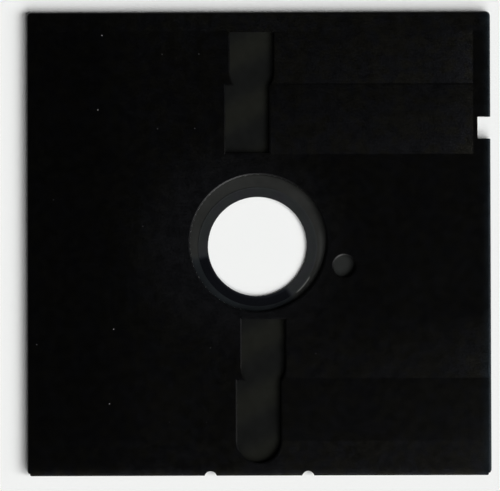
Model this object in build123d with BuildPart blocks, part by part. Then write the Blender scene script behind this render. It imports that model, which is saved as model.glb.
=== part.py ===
from build123d import *
import os

# A flexible magnetic disk in its folded square jacket, lying on its back with its face up.
# X runs to the right and Y towards the label end, both across the face, and Z out of it.
# The origin is the middle of the underside. All sizes are in millimetres.

# Jacket sheet
jacket_side = 133.35
sheet_thickness = 0.25
flap_width = 9.5
flap_end_slope = 2.0
back_panel_edge_gap = 0.1
top_corner_bend = 0.5
bottom_cut_width = 1.15
bottom_cut_height = 1.5

# The punch draws the face down a little round the windows.
edge_roll_width = 0.4
edge_roll_depth = 0.13

# Heat seals pressed into the flaps
seal_length = 5.0
seal_width = 1.6
seal_depth = 0.06
seal_pitch = 9.0
side_seal_inset = 4.75
top_seal_inset = 2.4

# Liners
liner_thickness = 0.15
liner_edge_gap = 0.7

# Magnetic disc
film_thickness = 0.08
clearance_under_disc = 0.05
clearance_over_disc = 0.6
disc_float = 1.325
disc_rest_gap = 0.4
disc_shift_x = -0.35
hub_hole_diameter = 28.575
index_hole_diameter = 2.54
index_hole_angle = 140.0

# Reinforcing ring on the disc
ring_width = 2.8
ring_thickness = 0.13
ring_bevel_width = 0.25
ring_bevel_depth = 0.05

# Round windows
hub_window_diameter = 39.4
hub_window_x = -0.1
hub_window_y = 0.1
index_window_diameter = 6.35
index_window_gap = 2.675
index_window_angle = -15.25

# Head windows, each punched in two stretches a little out of line
head_window_width = 12.6
head_window_step = 1.35
stretch_overlap = 2.6
lower_window_x = -0.05
lower_window_hub_gap = 2.15
lower_window_edge_gap = 3.675
lower_window_outer_length = 23.7
upper_window_x = -3.2
upper_window_hub_gap = 6.1
upper_window_edge_gap = 5.975
upper_window_outer_length = 15.35

# Write-enable notch in the right edge
write_notch_depth = 3.8
write_notch_height = 6.35
write_notch_from_top = 33.575
write_notch_corner = 0.3

# Stress-relief notches in the bottom edge
relief_radius = 1.8
relief_spacing = 28.0
relief_offset = 0.4

# Heights of the layers, from the flaps on the underside up to the front face
flap_top = sheet_thickness
back_panel_top = flap_top + sheet_thickness
back_liner_top = back_panel_top + liner_thickness
disc_bottom = back_liner_top + clearance_under_disc
disc_top = disc_bottom + film_thickness
front_liner_bottom = disc_top + clearance_over_disc
front_panel_bottom = front_liner_bottom + liner_thickness
jacket_thickness = front_panel_bottom + sheet_thickness

# The side and top folds go round all the layers, the bottom fold only round the two panels.
half_side = jacket_side / 2
side_fold_radius = jacket_thickness / 2
bottom_fold_radius = (jacket_thickness - flap_top) / 2
fold_line = half_side - side_fold_radius
bottom_fold_line = half_side - bottom_fold_radius
corner_line = fold_line - top_corner_bend
panel_height = fold_line + bottom_fold_line
panel_y = (fold_line - bottom_fold_line) / 2

disc_radius = half_side - sheet_thickness - disc_float
disc_y = disc_rest_gap - disc_float
hub_hole_radius = hub_hole_diameter / 2
ring_radius = hub_hole_radius + ring_width

# The windows start at a gap from the hub window and end at a gap from the jacket's edge.
hub_window_radius = hub_window_diameter / 2
index_radius = hub_window_radius + index_window_gap + index_window_diameter / 2
lower_window_top = hub_window_y - hub_window_radius - lower_window_hub_gap
lower_window_bottom = lower_window_edge_gap - half_side
lower_window_middle = lower_window_bottom + lower_window_outer_length
upper_window_bottom = hub_window_y + hub_window_radius + upper_window_hub_gap
upper_window_top = half_side - upper_window_edge_gap
upper_window_middle = upper_window_top - upper_window_outer_length
write_notch_y = half_side - write_notch_from_top

os.makedirs("parts", exist_ok=True)


def outward_plane(outward, along):
    """A plane across a fold, with local X out of the jacket and local Y up."""
    return Plane(origin=(0, 0, 0), x_dir=outward, z_dir=along)


def draw_fold(line, middle_height, radius):
    """Section of a fold: half a ring of the sheet's thickness, bulging towards local X."""
    with Locations((line, middle_height)):
        Circle(radius)
        Circle(radius - sheet_thickness, mode=Mode.SUBTRACT)
        Rectangle(radius, 2 * radius, align=(Align.MAX, Align.CENTER), mode=Mode.SUBTRACT)


def draw_stretch(x, top, bottom, round_end):
    """One punched stretch of a head window."""
    end = bottom + (head_window_width / 2 if round_end else 0)
    with Locations((x, end)):
        Rectangle(head_window_width, top - end, align=(Align.CENTER, Align.MIN))
        if round_end:
            Circle(head_window_width / 2)


def draw_windows():
    """Outlines of the windows, which are punched through both panels and their liners at once."""
    with Locations((hub_window_x, hub_window_y)):
        Circle(hub_window_radius)
        with PolarLocations(index_radius, 1, index_window_angle):
            Circle(index_window_diameter / 2)
    lower_step_end = lower_window_middle - stretch_overlap
    upper_step_end = upper_window_middle - stretch_overlap
    draw_stretch(lower_window_x + head_window_step, lower_window_top, lower_step_end, True)
    draw_stretch(lower_window_x, lower_window_middle, lower_window_bottom, True)
    draw_stretch(upper_window_x + head_window_step, upper_window_top, upper_step_end, True)
    draw_stretch(upper_window_x, upper_window_middle, upper_window_bottom, False)


def draw_edge_notches():
    """Outlines of the write-enable notch and the two stress-relief notches."""
    with BuildSketch(mode=Mode.PRIVATE) as write_notch:
        with Locations((half_side, write_notch_y)):
            Rectangle(2 * write_notch_depth, write_notch_height)
        inner_corners = write_notch.vertices().group_by(Axis.X)[0]
        fillet(inner_corners, radius=write_notch_corner)
    add(write_notch.sketch)
    with Locations((0, -half_side - relief_offset)):
        with GridLocations(relief_spacing, 0, 2, 1):
            Circle(relief_radius)


def draw_panel(edge_gap):
    """Outline of a panel that stops at a gap from the folds, with its top corners rounded."""
    with BuildSketch(mode=Mode.PRIVATE) as panel:
        with Locations((0, panel_y)):
            Rectangle(2 * (fold_line - edge_gap), panel_height - 2 * edge_gap)
        top_corners = panel.vertices().group_by(Axis.Y)[-1]
        fillet(top_corners, radius=top_corner_bend - edge_gap)
    add(panel.sketch)


def draw_liner():
    """Outline of a liner, which stops short of the folds and leaves every opening free."""
    with Locations((0, panel_y)):
        Rectangle(2 * (fold_line - liner_edge_gap), panel_height - 2 * liner_edge_gap)
    with BuildSketch(mode=Mode.PRIVATE) as openings:
        draw_windows()
        draw_edge_notches()
    add(openings.sketch, mode=Mode.SUBTRACT)


def seal_count(length):
    """How many heat seals fit along a flap's free edge at their pitch."""
    return 1 + int((length - seal_length) // seal_pitch)


# The jacket is one sheet: front panel, bottom fold, back panel, three folds and three flaps.
with BuildPart() as jacket:
    with BuildSketch(Plane.XY.offset(front_panel_bottom)):
        draw_panel(0)
    extrude(amount=sheet_thickness)

    with BuildSketch(outward_plane((1, 0, 0), (0, -1, 0)).offset(-corner_line)):
        draw_fold(fold_line, jacket_thickness / 2, side_fold_radius)
    extrude(amount=corner_line + bottom_fold_line)

    # The top corners are pressed round, so the side and top folds run into each other.
    with BuildSketch(outward_plane((1, 0, 0), (0, -1, 0)).offset(-corner_line)):
        draw_fold(fold_line, jacket_thickness / 2, side_fold_radius)
    revolve(axis=Axis((corner_line, corner_line, 0), (0, 0, 1)), revolution_arc=90)

    flap_edge = fold_line - flap_width
    mitre_end = corner_line - flap_width
    side_flap_end = flap_end_slope - bottom_fold_line
    with BuildSketch():
        Polygon(
            (fold_line, -bottom_fold_line),
            (fold_line, corner_line),
            (flap_edge, mitre_end),
            (flap_edge, side_flap_end),
            align=None,
        )
    extrude(amount=sheet_thickness)
    mirror(about=Plane.YZ)

    with BuildSketch(outward_plane((0, 1, 0), (1, 0, 0))):
        draw_fold(fold_line, jacket_thickness / 2, side_fold_radius)
    extrude(amount=corner_line, both=True)

    with BuildSketch():
        Polygon(
            (-corner_line, fold_line),
            (corner_line, fold_line),
            (mitre_end, flap_edge),
            (-mitre_end, flap_edge),
            align=None,
        )
    extrude(amount=sheet_thickness)

    with BuildSketch(outward_plane((0, -1, 0), (-1, 0, 0))):
        draw_fold(bottom_fold_line, flap_top + bottom_fold_radius, bottom_fold_radius)
    extrude(amount=fold_line, both=True)

    with BuildSketch(Plane.XY.offset(flap_top)):
        draw_panel(back_panel_edge_gap)
        with Locations((0, -bottom_fold_line)):
            Rectangle(
                2 * (fold_line - back_panel_edge_gap),
                back_panel_edge_gap,
                align=(Align.CENTER, Align.MIN),
            )
    extrude(amount=sheet_thickness)

    with BuildSketch():
        with Locations((-half_side, -half_side), (half_side, -half_side)):
            Polygon(
                (bottom_cut_width, 0),
                (0, bottom_cut_height),
                (-bottom_cut_width, 0),
                (0, -bottom_cut_height),
            )
        draw_windows()
        draw_edge_notches()
    extrude(amount=jacket_thickness, mode=Mode.SUBTRACT)

    front_face = jacket.faces().sort_by(Axis.Z)[-1]
    chamfer(
        front_face.inner_wires().edges(),
        length=edge_roll_width,
        length2=edge_roll_depth,
        reference=front_face,
    )

    # The seals are shallow dents in the underside, in a row along each flap.
    with BuildSketch():
        with Locations((0, (mitre_end + side_flap_end) / 2)):
            side_seals = seal_count(mitre_end - side_flap_end)
            with GridLocations(2 * (fold_line - side_seal_inset), seal_pitch, 2, side_seals):
                SlotOverall(seal_length, seal_width, rotation=90)
        with Locations((0, fold_line - top_seal_inset)):
            with GridLocations(seal_pitch, 0, seal_count(2 * mitre_end), 1):
                SlotOverall(seal_length, seal_width)
    extrude(amount=seal_depth, mode=Mode.SUBTRACT)

jacket.part.label = "jacket"
export_step(jacket.part, "parts/jacket.step")

# The back liner lies on the back panel, and the front liner hangs under the front panel.
with BuildPart() as back_liner:
    with BuildSketch(Plane.XY.offset(back_panel_top)):
        draw_liner()
    extrude(amount=liner_thickness)

back_liner.part.label = "back_liner"
export_step(back_liner.part, "parts/back_liner.step")

with BuildPart() as front_liner:
    with BuildSketch(Plane.XY.offset(front_liner_bottom)):
        draw_liner()
    extrude(amount=liner_thickness)

front_liner.part.label = "front_liner"
export_step(front_liner.part, "parts/front_liner.step")

# The disc has slipped down inside the jacket, so its hole is off the middle of the window.
with BuildPart() as magnetic_disc:
    with BuildSketch(Plane.XY.offset(disc_bottom)):
        with Locations((disc_shift_x, disc_y)):
            Circle(disc_radius)
            Circle(hub_hole_radius, mode=Mode.SUBTRACT)
            with PolarLocations(index_radius, 1, index_hole_angle):
                Circle(index_hole_diameter / 2, mode=Mode.SUBTRACT)
    extrude(amount=film_thickness)

magnetic_disc.part.label = "magnetic_disc"
export_step(magnetic_disc.part, "parts/magnetic_disc.step")

with BuildPart() as hub_ring:
    with BuildSketch(Plane.XY.offset(disc_top)):
        with Locations((disc_shift_x, disc_y)):
            Circle(ring_radius)
            Circle(hub_hole_radius, mode=Mode.SUBTRACT)
    extrude(amount=ring_thickness)
    outer_top_edge = hub_ring.edges().group_by(Axis.Z)[-1].sort_by(SortBy.RADIUS)[-1]
    ring_face = hub_ring.faces().sort_by(Axis.Z)[-1]
    chamfer(
        outer_top_edge,
        length=ring_bevel_width,
        length2=ring_bevel_depth,
        reference=ring_face,
    )

hub_ring.part.label = "hub_ring"
export_step(hub_ring.part, "parts/hub_ring.step")
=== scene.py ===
import math

import bpy
from mathutils import Euler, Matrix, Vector


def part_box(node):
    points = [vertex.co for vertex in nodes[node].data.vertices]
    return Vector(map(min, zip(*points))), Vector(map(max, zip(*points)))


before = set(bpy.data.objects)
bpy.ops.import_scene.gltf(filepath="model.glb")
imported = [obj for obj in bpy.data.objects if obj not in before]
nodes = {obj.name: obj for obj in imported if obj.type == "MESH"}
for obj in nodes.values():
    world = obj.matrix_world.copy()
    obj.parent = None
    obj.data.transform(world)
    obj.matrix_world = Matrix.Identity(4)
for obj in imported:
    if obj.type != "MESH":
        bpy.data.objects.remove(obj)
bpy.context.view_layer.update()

# A millimetre, in the metres of the scene
MM = 0.001

# The photograph's size in pixels, and the camera that fits the jacket's four edges in it
PHOTO_WIDTH = 500
PHOTO_HEIGHT = 491
AIM_MM = (-2.541, -0.588)
AIM_DISTANCE = 0.5
FOCAL_PX = 1742.4
CAMERA_TILT = math.radians(0.38)
CAMERA_TURN = math.radians(-0.161)
SENSOR_MM = 36.0

# Half the jacket's side, the disc's centre and the ring's outer radius, in millimetres
jacket_low, jacket_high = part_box("jacket")
half_side = (jacket_high.x - jacket_low.x) / 2 / MM
disc_low, disc_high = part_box("magnetic_disc")
disc_centre = ((disc_low.x + disc_high.x) / 2 / MM, (disc_low.y + disc_high.y) / 2 / MM)
ring_low, ring_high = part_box("hub_ring")
ring_radius = (ring_high.x - ring_low.x) / 2 / MM

face_height = jacket_high.z
camera_turn = Euler((CAMERA_TILT, 0, CAMERA_TURN))
camera_axes = camera_turn.to_matrix()
camera_aim = Vector((AIM_MM[0] * MM, AIM_MM[1] * MM, face_height))
camera_place = camera_aim + camera_axes @ Vector((0, 0, AIM_DISTANCE))

# Numbers of the Mix node's sockets for colours
MIX_FACTOR = 0
MIX_FIRST = 6
MIX_SECOND = 7
MIX_RESULT = 2

# Most values of a noise lie between these.
NOISE_RANGE = (0.3, 0.7)


class Graph:
    """A node tree, with short calls for the nodes that this scene uses."""

    def __init__(self, tree):
        self.tree = tree

    def node(self, kind, inputs=None, **settings):
        """A new node with its settings, its sockets fed by their name or number."""
        made = self.tree.nodes.new(kind)
        for key, value in settings.items():
            setattr(made, key, value)
        for key, value in (inputs or {}).items():
            self.feed(made.inputs[key], value)
        return made

    def feed(self, socket, value):
        """Links the socket to another node's output, or gives it a plain value."""
        if isinstance(value, bpy.types.NodeSocket):
            self.tree.links.new(value, socket)
        else:
            socket.default_value = value

    def split(self, vector):
        """The X, Y and Z of a vector."""
        return self.node("ShaderNodeSeparateXYZ", {"Vector": vector}).outputs

    def ramp(self, value, start, end, low=0.0, high=1.0, smooth=True):
        """Low before start and high after end, with a smooth or an even change between them."""
        inputs = {"Value": value, "From Min": start, "From Max": end, "To Min": low, "To Max": high}
        kind = "SMOOTHSTEP" if smooth else "LINEAR"
        return self.node("ShaderNodeMapRange", inputs, interpolation_type=kind).outputs["Result"]

    def background(self, colour, strength):
        """Light of one colour from all around."""
        made = self.node("ShaderNodeBackground", {"Color": colour, "Strength": strength})
        return made.outputs["Background"]


class Material(Graph):
    """A material's node tree, in which places and lengths are in millimetres."""

    def __init__(self, name):
        self.material = bpy.data.materials.new(name)
        self.material.use_nodes = True
        super().__init__(self.material.node_tree)
        self.shader = self.tree.nodes["Principled BSDF"]
        place = self.node("ShaderNodeTexCoord").outputs["Object"]
        inputs = {"Vector": place, "Scale": 1 / MM}
        self.point = self.node("ShaderNodeVectorMath", inputs, operation="SCALE").outputs["Vector"]
        self.x, self.y, self.z = self.split(self.point)

    def math(self, operation, first, second=0.0):
        return self.node("ShaderNodeMath", {0: first, 1: second}, operation=operation).outputs["Value"]

    def total(self, first, *others):
        for other in others:
            first = self.math("ADD", first, other)
        return first

    def product(self, first, *others):
        for other in others:
            first = self.math("MULTIPLY", first, other)
        return first

    def mix(self, factor, first, second):
        """The first colour where the factor is 0 and the second where it is 1."""
        inputs = {MIX_FACTOR: factor, MIX_FIRST: first, MIX_SECOND: second}
        return self.node("ShaderNodeMix", inputs, data_type="RGBA").outputs[MIX_RESULT]

    def tinted(self, level, tint):
        """A colour of a varying brightness, with a slight tint."""
        inputs = {channel: self.product(level, share) for channel, share in enumerate(tint)}
        return self.node("ShaderNodeCombineColor", inputs).outputs["Color"]

    def moved(self, offset, turn, stretch):
        """The point, moved by the offset, turned about Z and stretched."""
        inputs = {"Vector": self.point, "Location": offset, "Rotation": (0, 0, turn), "Scale": stretch}
        return self.node("ShaderNodeMapping", inputs).outputs["Vector"]

    def noise(self, size, detail=2.0, roughness=0.5, offset=None, turn=0.0, stretch=(1, 1, 1)):
        """Noise from 0 to 1 whose features are about as large as the size."""
        point = self.point if offset is None else self.moved(offset, turn, stretch)
        inputs = {"Vector": point, "Scale": 1 / size, "Detail": detail, "Roughness": roughness}
        return self.node("ShaderNodeTexNoise", inputs).outputs["Fac"]

    def varied(self, noise, share):
        """A factor near 1 that follows the noise, by up to the share each way."""
        return self.ramp(noise, *NOISE_RANGE, 1 - share, 1 + share, smooth=False)

    def distance(self, x, y):
        """Distance from a point of the face, seen from above."""
        across = self.math("SUBTRACT", self.x, x)
        up = self.math("SUBTRACT", self.y, y)
        return self.math("SQRT", self.total(self.product(across, across), self.product(up, up)))

    def sector(self, x, y, start, end, soft):
        """1 between two directions seen from a point, in degrees from +X, and 0 outside them."""
        middle = math.radians((start + end) / 2)
        across = self.product(self.math("SUBTRACT", self.x, x), math.cos(middle))
        up = self.product(self.math("SUBTRACT", self.y, y), math.sin(middle))
        cosine = self.math("DIVIDE", self.total(across, up), self.distance(x, y))
        outer = math.cos(math.radians((end - start + soft) / 2))
        inner = math.cos(math.radians((end - start - soft) / 2))
        return self.ramp(cosine, outer, inner)

    def surface_normal(self):
        return self.node("ShaderNodeNewGeometry").outputs["Normal"]

    def bump(self, height, depth, strength, normal=None):
        """A relief of the given depth, on top of another normal if there is one."""
        inputs = {"Height": height, "Distance": depth * MM, "Strength": strength}
        if normal is not None:
            inputs["Normal"] = normal
        return self.node("ShaderNodeBump", inputs).outputs["Normal"]

    def shade(self, **values):
        """Feeds the shader's sockets, named in lower case with _ for a space."""
        names = {name.lower().replace(" ", "_"): name for name in self.shader.inputs.keys()}
        for key, value in values.items():
            self.feed(self.shader.inputs[names[key]], value)


def grey(level, tint=(1.0, 1.0, 1.0)):
    """A linear colour of the given brightness, with a slight tint."""
    return (*(level * part for part in tint), 1.0)


def display(level):
    """The linear value of a display level from 0 to 255, by the standard display curve."""
    share = level / 255
    return share / 12.92 if share <= 0.04045 else ((share + 0.055) / 1.055) ** 2.4


def give(node_name, graph):
    """Puts the material on a node."""
    piece = nodes[node_name]
    piece.data.materials.clear()
    piece.data.materials.append(graph.material)


def photo_to_mm(x_px, y_px):
    """The place on the jacket's face, in millimetres, of a pixel of the photograph."""
    right = (x_px - PHOTO_WIDTH / 2) / FOCAL_PX
    up = (PHOTO_HEIGHT / 2 - y_px) / FOCAL_PX
    ray = camera_axes @ Vector((right, up, -1))
    place = camera_place + ray * ((face_height - camera_place.z) / ray.z)
    return place.x / MM, place.y / MM


# The vinyl's matt grain, bright flecks, mottle, gentle waves and changes of hue
GRAIN = {"size": 0.45, "detail": 3.0, "roughness": 0.65}
FLECKS = {"size": 0.35, "detail": 2.0, "offset": (7, 3, 0)}
MOTTLE = {"size": 2.6, "detail": 3.0, "roughness": 0.6}
WAVES = {"size": 30.0, "detail": 1.0}
HUE = {"size": 3.5, "detail": 3.0, "roughness": 0.6, "offset": (2, 9, 0)}

# How far the grain and the mottle vary the vinyl's tone
GRAIN_SHARE = 0.8
MOTTLE_SHARE = 0.3

# The noise that makes a fleck, and how many times a field's own tone a full fleck adds
FLECK_RANGE = (0.52, 0.7)
FLECK_SHARE = 3.0

# The noise over which the vinyl turns from warm to bluish, and its tints: both of these and that of
# the painted sheen on the right shoulder
HUE_RANGE = (0.42, 0.58)
BLUISH_TINT = (0.93, 0.97, 1.12)
WARM_TINT = (1.05, 1.03, 0.85)
FOLD_SHEEN_TINT = (0.65, 1.05, 1.4)

# The mottle over which the vinyl's roughness changes, and the depth and strength of its relief
ROUGHNESS_RANGE = (0.25, 0.75)
VINYL_ROUGHNESS = (0.3, 0.34)
GRAIN_RELIEF = (0.012, 0.6)
WAVE_RELIEF = (0.5, 0.5)

# Near black, the tones of the jacket are counted in display steps, each this bright.
STEP = display(1.0)

# The plain tones at the left, in the middle and at the right, and where one changes to the next
LEFT_STEPS = 2.4
PLAIN_STEPS = 4.9
RIGHT_STEPS = 3.7
LEFT_CHANGE = (-50, -28)
RIGHT_CHANGE = (-5, 18)

# Paler fields to the right of the windows: lower, upper and right edge in millimetres, and
# their strength along the upper and the lower edge
PALE_FIELDS = (
    (45.7, 61.2, 61.8, 0.8, 1.3),
    (25.4, 45.7, 61.8, 0.5, 1.3),
    (-38.9, -21.0, 70.0, 0.1, 0.9),
    (-70.0, -38.9, 70.0, 0.1, 0.6),
)
FIELD_SOFT = 0.4

# Where the fields fade in by the windows, and the steps that they add at the left and at the
# right and where these change
PALE_START = (-6, 6)
PALE_STEPS = (2.6, 5.5)
PALE_CHANGE = (5, 48)

# From here to the jacket's edge, the fields add up to this many steps more.
PALE_END = 50
PALE_END_STEPS = 7.5

# The strips along the top and bottom, with the steps that they add at the left and at the right
# and where these change
TOP_STRIP = 61.2
TOP_STEPS = (1.0, 5.0)
TOP_CHANGE = (-40, 20)
BOTTOM_STRIP = -56.5
BOTTOM_STEPS = (1.0, 4.0)
BOTTOM_CHANGE = (-10, 0)

# The fields, strips, painted glare and dust are on the face only: they begin between these heights.
FACE_HEIGHTS = (0.6, 1.2)

# Painted sheen on the shoulders of the right and bottom folds, which face the light and grow ever
# brighter towards the edge
FOLD_SHEEN_WIDTH = 3.6
FOLD_SHEEN_STEPS = 33.0
FOLD_SHEEN_POWER = 3.0

# A painted bluish glare round the hub window, the light scattered from its bright hole, stronger at its
# left
GLARE_MM = (-5.0, -1.0)
GLARE_INNER = 19.0
GLARE_OUTER = 36.0
GLARE_STEPS = 5.0

# The jacket's sheen, and that of the rims which face the bottom edge: bright in the middle,
# where the round windows are, and dull beyond this distance from the middle
SHEEN = 0.4
RIM_BRIGHT = 1.5
RIM_DULL = 0.05
RIM_MIDDLE = 4.5
RIM_REACH = 23.0
RIM_SOFT = 1.0

# How far a rim has to lean towards the bottom edge
RIM_LEAN = (0.1, 0.4)

# Specks of dust on the jacket, by their pixels in the photograph, with how strongly they show
DUST = (
    (102.0, 35.4, 0.95),
    (97.9, 110.0, 0.95),
    (113.7, 329.2, 0.9),
    (109.5, 403.8, 0.85),
    (36.7, 344.6, 0.25),
    (157.5, 128.7, 0.16),
    (198.9, 54.0, 0.14),
    (194.8, 128.4, 0.14),
    (210.5, 347.8, 0.14),
    (142.8, 226.4, 0.11),
    (169.5, 422.3, 0.11),
    (206.4, 422.4, 0.11),
    (162.1, 54.3, 0.11),
    (53.4, 199.8, 0.1),
    (315.9, 353.5, 0.1),
)

# A speck's radius in millimetres, the share of it that is fully covered, and its colour
DUST_RADIUS = 0.2
DUST_CORE_SHARE = 0.3
DUST_COLOUR = grey(0.35)


def pale_fields(g, on_face):
    """The steps that the paler fields add to the vinyl's tone."""
    fields = []
    for bottom, top, right, upper_strength, lower_strength in PALE_FIELDS:
        up = g.ramp(g.y, bottom, bottom + FIELD_SOFT)
        down = g.ramp(g.y, top, top - FIELD_SOFT)
        left = g.ramp(g.x, right, right - FIELD_SOFT)
        strength = g.ramp(g.y, top, bottom, upper_strength, lower_strength, smooth=False)
        fields.append(g.product(up, down, left, strength))
    across = g.total(
        g.ramp(g.x, *PALE_CHANGE, *PALE_STEPS, smooth=False),
        g.ramp(g.x, PALE_END, half_side, 0.0, PALE_END_STEPS),
    )
    return g.product(on_face, g.total(*fields), g.ramp(g.x, *PALE_START), across)


def edge_strips(g, on_face):
    """The steps that the strips along the top and the bottom add."""
    above = g.ramp(g.y, TOP_STRIP - FIELD_SOFT, TOP_STRIP)
    below = g.ramp(g.y, BOTTOM_STRIP, BOTTOM_STRIP - FIELD_SOFT)
    top = g.product(above, g.ramp(g.x, *TOP_CHANGE, *TOP_STEPS))
    bottom = g.product(below, g.ramp(g.x, *BOTTOM_CHANGE, *BOTTOM_STEPS))
    return g.product(on_face, g.total(top, bottom))


def dust_specks(g, on_face):
    """How strongly dust covers the vinyl."""
    core = DUST_RADIUS * DUST_CORE_SHARE
    specks = []
    for x_px, y_px, strength in DUST:
        place = photo_to_mm(x_px, y_px)
        specks.append(g.ramp(g.distance(*place), DUST_RADIUS, core, 0.0, strength))
    return g.product(on_face, g.total(*specks))


def jacket_sheen(g):
    """The sheen, with that of the rims which face the bottom edge."""
    normal = g.split(g.surface_normal())
    facing = g.ramp(g.product(normal["Y"], -1.0), *RIM_LEAN)
    off_middle = g.math("ABSOLUTE", g.math("SUBTRACT", g.y, RIM_MIDDLE))
    rim = g.ramp(off_middle, RIM_REACH, RIM_REACH + RIM_SOFT, RIM_BRIGHT, RIM_DULL)
    return g.ramp(facing, 0, 1, SHEEN, rim)


def jacket_sheet():
    """Black vinyl with a fine matt grain, faint tone fields, dust, a painted glare round the hub and
    painted sheen on the folds that face the light.
    """
    g = Material("jacket_sheet")
    grain = g.noise(**GRAIN)
    mottle = g.noise(**MOTTLE)
    on_face = g.ramp(g.z, *FACE_HEIGHTS)
    pale = pale_fields(g, on_face)
    # A painted glare round the hub window
    glare = g.product(on_face, g.ramp(g.distance(*GLARE_MM), GLARE_OUTER, GLARE_INNER))
    # Painted sheen on the right and bottom folds, which face the light
    right_fold_sheen = g.ramp(g.x, half_side - FOLD_SHEEN_WIDTH, half_side, smooth=False)
    bottom_fold_sheen = g.ramp(g.y, FOLD_SHEEN_WIDTH - half_side, -half_side, smooth=False)
    fold_sheen = g.math("POWER", g.math("MAXIMUM", right_fold_sheen, bottom_fold_sheen), FOLD_SHEEN_POWER)
    steps = g.total(
        g.ramp(g.x, *LEFT_CHANGE, LEFT_STEPS, PLAIN_STEPS),
        g.ramp(g.x, *RIGHT_CHANGE, 0.0, RIGHT_STEPS - PLAIN_STEPS),
        pale,
        edge_strips(g, on_face),
        g.product(glare, GLARE_STEPS),
        g.product(fold_sheen, FOLD_SHEEN_STEPS),
    )
    steps = g.product(steps, g.varied(grain, GRAIN_SHARE), g.varied(mottle, MOTTLE_SHARE))
    flecks = g.product(pale, g.ramp(g.noise(**FLECKS), *FLECK_RANGE, 0.0, FLECK_SHARE))
    tone = g.product(g.total(steps, flecks), STEP)
    bluish = g.math("MAXIMUM", glare, g.ramp(g.noise(**HUE), *HUE_RANGE))
    vinyl = g.mix(bluish, g.tinted(tone, WARM_TINT), g.tinted(tone, BLUISH_TINT))
    vinyl = g.mix(right_fold_sheen, vinyl, g.tinted(tone, FOLD_SHEEN_TINT))
    g.shade(
        base_color=g.mix(dust_specks(g, on_face), vinyl, DUST_COLOUR),
        roughness=g.ramp(mottle, *ROUGHNESS_RANGE, *VINYL_ROUGHNESS),
        specular_ior_level=jacket_sheen(g),
        normal=g.bump(grain, *GRAIN_RELIEF, g.bump(g.noise(**WAVES), *WAVE_RELIEF)),
    )
    return g


# The films of the disc and its ring: their mottle, how far it varies the tone, and the depth
# and strength of its relief
DISC_MOTTLE = {"size": 2.5, "detail": 3.0}
DISC_MOTTLE_SHARE = 0.08
DISC_RELIEF = (0.02, 0.3)
RING_MOTTLE = {"size": 1.6, "detail": 3.0}
RING_MOTTLE_SHARE = 0.07
RING_RELIEF = (0.01, 0.3)

# The films' roughness, the disc's over its mottle, and their sheen
DISC_ROUGHNESS = (0.28, 0.34)
RING_ROUGHNESS = 0.22
FILM_SHEEN = 0.2

# Painted shade: the disc is darker between these directions, where the film by the hub dips out of the
# light, and keeps this share of its painted sheen there.
SHADED_SECTOR = (191.0, 304.5)
SHADED_SOFT = 9.0
SHADED_SHARE = 0.35

# Slanting bands of sheen on the disc, in millimetres, with the levels and tints between and on
# their crests
SHEEN_PITCH = 17.0
SHEEN_CREST = 40.5
SHEEN_SLANT = math.radians(27)
BAND_LEVELS = (display(19.5), display(25.5))
BAND_TINTS = ((0.97, 1.03, 0.99), (1.0, 1.04, 0.86))

# Painted sheen: the disc is painted brighter in the hub window, between these radii, with its tints
# where it is clear and where it is in painted shade.
HUB_RADII = (20.9, 20.2)
HUB_TINTS = ((0.99, 1.02, 0.97), (0.85, 1.0, 1.12))

# It has painted sheen too in the patch that shows in the index window, and is this much brighter in
# both.
PATCH_MM = (24.5, -6.6)
PATCH_RADIUS = 8.0
PATCH_CORE_SHARE = 0.6
PAINTED_SHEEN_LEVEL = display(40.0) - display(22.5)

# A painted glint along the ring's outer edge, between two directions and two radii
GLINT_SECTOR = (311.0, 329.0)
GLINT_SOFT = 4.0
GLINT_RADII = (16.95, 17.6)
GLINT_LEVEL = display(87.0)

# Painted light: the film is paler towards the hub window's lower right rim, lifting the shadow that the
# rim casts there: directions, radii and how much
SHADE_LIFT_SECTOR = (270.0, 370.0)
SHADE_LIFT_SOFT = 30.0
SHADE_LIFT_RADII = (17.4, 18.4)
SHADE_LIFT_SHARE = 1.8


def painted_glint(g):
    """How much the painted glint adds."""
    inner, outer = GLINT_RADII
    middle = inner + (outer - inner) / 2
    radius = g.distance(*disc_centre)
    across = g.product(g.ramp(radius, inner, middle), g.ramp(radius, outer, middle))
    return g.product(g.sector(*disc_centre, *GLINT_SECTOR, GLINT_SOFT), across, GLINT_LEVEL)


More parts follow.
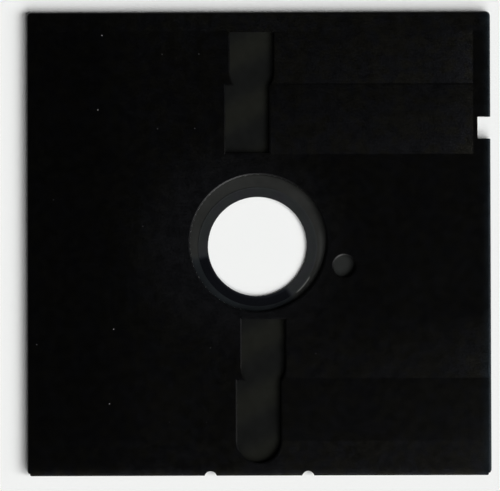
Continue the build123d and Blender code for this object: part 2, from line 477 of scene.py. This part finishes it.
def oxide_film():
    """Dark oxide coating with a satin gloss, painted bands of sheen, painted sheen and shade by the hub
    and a painted glint.
    """
    g = Material("oxide_film")
    mottle = g.noise(**DISC_MOTTLE)
    radius = g.distance(*disc_centre)
    slant = g.math("SUBTRACT", g.y, g.product(g.x, math.tan(SHEEN_SLANT)))
    turns = g.product(g.math("SUBTRACT", slant, SHEEN_CREST), 2 * math.pi / SHEEN_PITCH)
    bands = g.ramp(g.math("COSINE", turns), -1, 1)
    by_hub = g.ramp(radius, *HUB_RADII)
    by_index = g.ramp(g.distance(*PATCH_MM), PATCH_RADIUS, PATCH_RADIUS * PATCH_CORE_SHARE)
    # Painted shade: the film by the hub dips out of the light in this sector.
    shaded = g.sector(*disc_centre, *SHADED_SECTOR, SHADED_SOFT)
    # Painted sheen by the hub and in the index patch
    painted_sheen = g.product(g.math("MAXIMUM", by_hub, by_index), g.ramp(shaded, 0, 1, 1.0, SHADED_SHARE))
    # Painted light: paler film by the lower right rim, lifting the rim's shadow
    rim_side = g.sector(*disc_centre, *SHADE_LIFT_SECTOR, SHADE_LIFT_SOFT)
    shade_lift = g.product(by_hub, rim_side, g.ramp(radius, *SHADE_LIFT_RADII))
    level = g.total(g.ramp(bands, 0, 1, *BAND_LEVELS, smooth=False), g.product(painted_sheen, PAINTED_SHEEN_LEVEL))
    level = g.product(
        level,
        g.varied(mottle, DISC_MOTTLE_SHARE),
        g.ramp(shade_lift, 0, 1, 1.0, SHADE_LIFT_SHARE, smooth=False),
    )
    # Adds a painted glint along the ring's outer edge.
    level = g.total(level, painted_glint(g))
    plain = g.mix(bands, *(g.tinted(level, tint) for tint in BAND_TINTS))
    middle = g.mix(shaded, *(g.tinted(level, tint) for tint in HUB_TINTS))
    g.shade(
        base_color=g.mix(by_hub, plain, middle),
        roughness=g.ramp(mottle, *NOISE_RANGE, *DISC_ROUGHNESS),
        specular_ior_level=FILM_SHEEN,
        normal=g.bump(mottle, *DISC_RELIEF),
    )
    return g


# Radius of the hole in the disc and its ring, in millimetres
HOLE_RADIUS = 14.2875

# The ring's levels on its top and at its outer edge, which is painted paler to lift the shade of its
# bevel, and how far from that edge they change
RING_LEVELS = (display(39.0), display(44.0))
RING_EDGE = (0.5, 0.15)

# Its levels in the sector of painted shade, on its top and at the hole, and how far from the hole they
# change
RING_SHADED_LEVELS = (display(14.0), display(23.0))
RING_SHADED_WIDTH = 1.0

# The ring's changes of hue, its tints between them, and its tint in the sector of painted shade
RING_HUE = {"size": 4.0, "detail": 2.0}
RING_HUE_RANGE = (0.4, 0.6)
RING_TINTS = ((0.92, 1.02, 1.02), (0.95, 0.99, 1.08))
RING_SHADED_TINT = (0.85, 0.93, 1.2)

# Beyond these distances from its hole, the ring is lit like its flat top, because its outer edge
# is worn soft.
RING_WORN_START = (0.3, 0.6)


def ring_film():
    """Glossy dark film of the hub ring, a little blue, with painted shade in one sector, a painted
    glint and a painted paler outer edge.
    """
    g = Material("ring_film")
    mottle = g.noise(**RING_MOTTLE)
    radius = g.distance(*disc_centre)
    edge_start, edge_end = (ring_radius - inset for inset in RING_EDGE)
    # Painted light: the outer edge is paler, lifting the shade of its bevel.
    clear_level = g.ramp(radius, edge_start, edge_end, *RING_LEVELS)
    at_hole = g.ramp(radius, HOLE_RADIUS + RING_SHADED_WIDTH, HOLE_RADIUS)
    shaded_level = g.ramp(at_hole, 0, 1, *RING_SHADED_LEVELS)
    # Painted shade: the ring is much darker in this sector.
    shaded = g.sector(*disc_centre, *SHADED_SECTOR, SHADED_SOFT)
    level = g.ramp(shaded, 0, 1, clear_level, shaded_level)
    level = g.product(level, g.varied(mottle, RING_MOTTLE_SHARE))
    # Adds a painted glint along the ring's outer edge.
    level = g.total(level, painted_glint(g))
    hue = g.ramp(g.noise(**RING_HUE), *RING_HUE_RANGE)
    clear = g.mix(hue, *(g.tinted(level, tint) for tint in RING_TINTS))
    up = g.node("ShaderNodeCombineXYZ", {"Z": 1.0}).outputs["Vector"]
    off_hole = g.ramp(radius, *(HOLE_RADIUS + inset for inset in RING_WORN_START))
    g.shade(
        base_color=g.mix(shaded, clear, g.tinted(level, RING_SHADED_TINT)),
        roughness=RING_ROUGHNESS,
        specular_ior_level=FILM_SHEEN,
        normal=g.bump(mottle, *RING_RELIEF, g.mix(off_hole, g.surface_normal(), up)),
    )
    return g


# The fleece's long thin fibres, with the offset and turn of each of its two layers
FIBRES = {"size": 0.12, "detail": 4.0, "roughness": 0.7, "stretch": (1.0, 0.2, 1.0)}
FIBRE_LAYERS = (((0, 0, 0), math.radians(30)), ((3, 1, 0), math.radians(-40)))

# The noise between dark and pale fibres, their colours, and that of the darker cut edges
FIBRE_RANGE = (0.35, 0.65)
FIBRE_COLOURS = (grey(0.32), grey(0.6, (1.0, 0.99, 0.96)))
CUT_COLOUR = grey(0.01)

# How level a face has to be to count as the fleece's flat side
FLAT_LEAN = (0.3, 0.7)

FLEECE_ROUGHNESS = 0.9
FLEECE_SHEEN = 0.2
FLEECE_RELIEF = (0.06, 0.8)


def liner_fleece():
    """Pale bonded fleece, with fibres that cross each other and darker cut edges."""
    g = Material("liner_fleece")
    layers = [g.noise(offset=offset, turn=turn, **FIBRES) for offset, turn in FIBRE_LAYERS]
    fibres = g.product(g.total(*layers), 1 / len(layers))
    fleece = g.mix(g.ramp(fibres, *FIBRE_RANGE), *FIBRE_COLOURS)
    normal = g.split(g.surface_normal())
    flat_side = g.ramp(g.math("ABSOLUTE", normal["Z"]), *FLAT_LEAN)
    g.shade(
        base_color=g.mix(flat_side, CUT_COLOUR, fleece),
        roughness=FLEECE_ROUGHNESS,
        specular_ior_level=FLEECE_SHEEN,
        normal=g.bump(fibres, *FLEECE_RELIEF),
    )
    return g


give("jacket", jacket_sheet())
give("magnetic_disc", oxide_film())
give("hub_ring", ring_film())
fleece = liner_fleece()
for name in ("front_liner", "back_liner"):
    give(name, fleece)


# The floor, a little under the flaps. Its soft cover bulges into the hub window, as the narrow
# shadows in the photograph show: a low rise with the radii of its flat top and its foot.
FLOOR_COLOUR = (display(241), display(242), display(241), 1.0)
FLOOR_SIDE = 6.0
FLOOR_DROP = 0.02 * MM
FLOOR_RISE = 0.4 * MM
RISE_RADII = (17.0 * MM, 19.0 * MM)
RISE_SEGMENTS = 96


def add_stage(name, points, faces, material):
    """A mesh that the object lies on."""
    mesh = bpy.data.meshes.new(name)
    mesh.from_pydata(points, [], faces)
    mesh.materials.append(material)
    piece = bpy.data.objects.new(name, mesh)
    bpy.context.scene.collection.objects.link(piece)


def ring_of_points(radius, height):
    """Points evenly round the middle of the floor."""
    turns = [2 * math.pi * i / RISE_SEGMENTS for i in range(RISE_SEGMENTS)]
    return [(radius * math.cos(turn), radius * math.sin(turn), height) for turn in turns]


def make_floor():
    """A plain pale floor that is much wider than the view, and its rise."""
    g = Material("floor")
    g.shade(base_color=FLOOR_COLOUR, roughness=1.0, specular_ior_level=0.0)
    reach = FLOOR_SIDE / 2
    corners = [(reach * x, reach * y, -FLOOR_DROP) for x, y in ((-1, -1), (1, -1), (1, 1), (-1, 1))]
    add_stage("floor", corners, [(0, 1, 2, 3)], g.material)
    top, foot = RISE_RADII
    points = ring_of_points(foot, -FLOOR_DROP) + ring_of_points(top, FLOOR_RISE)
    faces = [tuple(range(RISE_SEGMENTS, 2 * RISE_SEGMENTS))]
    for i in range(RISE_SEGMENTS):
        following = (i + 1) % RISE_SEGMENTS
        faces.append((i, following, RISE_SEGMENTS + following, RISE_SEGMENTS + i))
    add_stage("floor_rise", points, faces, g.material)


# A low, broad light from the lower right: three parts side by side and a weak one above them,
# each with its azimuth and elevation in degrees and its share of the light on the floor. They
# fit the shadows in the photograph.
KEY_SPREAD = math.radians(28)
KEY_PARTS = {
    "key_low": (-77.5, 25, 0.19),
    "key_middle": (-44.3, 25, 0.26),
    "key_right": (-11.1, 25, 0.41),
    "key_high": (-40, 50, 0.1),
}

# The rest is soft light from all sides. It fades evenly from the horizon to the zenith, so a
# level surface gets a third of what comes from the horizon.
FILL_SHARE = 1 - sum(share for _, _, share in KEY_PARTS.values())
HORIZON_FACTOR = 3

# A broad and dim light from the same side that only gloss shows: azimuth and elevation in
# degrees, and its radiance
GLOSS_PLACE = (-44.3, 32)
GLOSS_SPREAD = math.radians(60)
GLOSS_RADIANCE = 1.35


def make_light(name, azimuth, elevation, spread, energy):
    """A far light whose disc is spread wide, with its azimuth and elevation in degrees."""
    data = bpy.data.lights.new(name, "SUN")
    data.energy = energy
    data.angle = spread
    light = bpy.data.objects.new(name, data)
    bpy.context.scene.collection.objects.link(light)
    turn = math.radians(azimuth)
    rise = math.radians(elevation)
    towards = Vector((math.cos(rise) * math.cos(turn), math.cos(rise) * math.sin(turn), math.sin(rise)))
    light.rotation_euler = towards.to_track_quat("Z", "Y").to_euler()
    return light


def make_lights():
    """Each part of the key light alone gives a level white surface its share of brightness 1."""
    for name, (azimuth, elevation, share) in KEY_PARTS.items():
        energy = share * math.pi / math.sin(math.radians(elevation))
        make_light(name, azimuth, elevation, KEY_SPREAD, energy).visible_glossy = False
    energy = GLOSS_RADIANCE * math.pi * math.sin(GLOSS_SPREAD / 2) ** 2
    make_light("gloss", *GLOSS_PLACE, GLOSS_SPREAD, energy).visible_diffuse = False


def make_world():
    """Soft light from all sides that fades out overhead, and a plain pale background."""
    world = bpy.data.worlds.new("studio")
    bpy.context.scene.world = world
    world.use_nodes = True
    world.node_tree.nodes.clear()
    g = Graph(world.node_tree)
    height = g.split(g.node("ShaderNodeTexCoord").outputs["Generated"])["Z"]
    strength = g.ramp(height, 0, 1, FILL_SHARE * HORIZON_FACTOR, 0.0, smooth=False)
    fill = g.background(grey(1.0), strength)
    backdrop = g.background(FLOOR_COLOUR, 1.0)
    seen = g.node("ShaderNodeLightPath").outputs["Is Camera Ray"]
    mix = g.node("ShaderNodeMixShader", {"Fac": seen, 1: fill, 2: backdrop})
    g.node("ShaderNodeOutputWorld", {"Surface": mix.outputs["Shader"]})


def make_camera():
    """A camera above the face, where the photograph was taken from."""
    data = bpy.data.cameras.new("camera")
    data.sensor_width = SENSOR_MM
    data.lens = FOCAL_PX * SENSOR_MM / PHOTO_WIDTH
    camera = bpy.data.objects.new("camera", data)
    bpy.context.scene.collection.objects.link(camera)
    camera.location = camera_place
    camera.rotation_euler = camera_turn
    bpy.context.scene.camera = camera


make_floor()
make_lights()
make_world()
make_camera()
bpy.context.scene.view_settings.view_transform = "Standard"
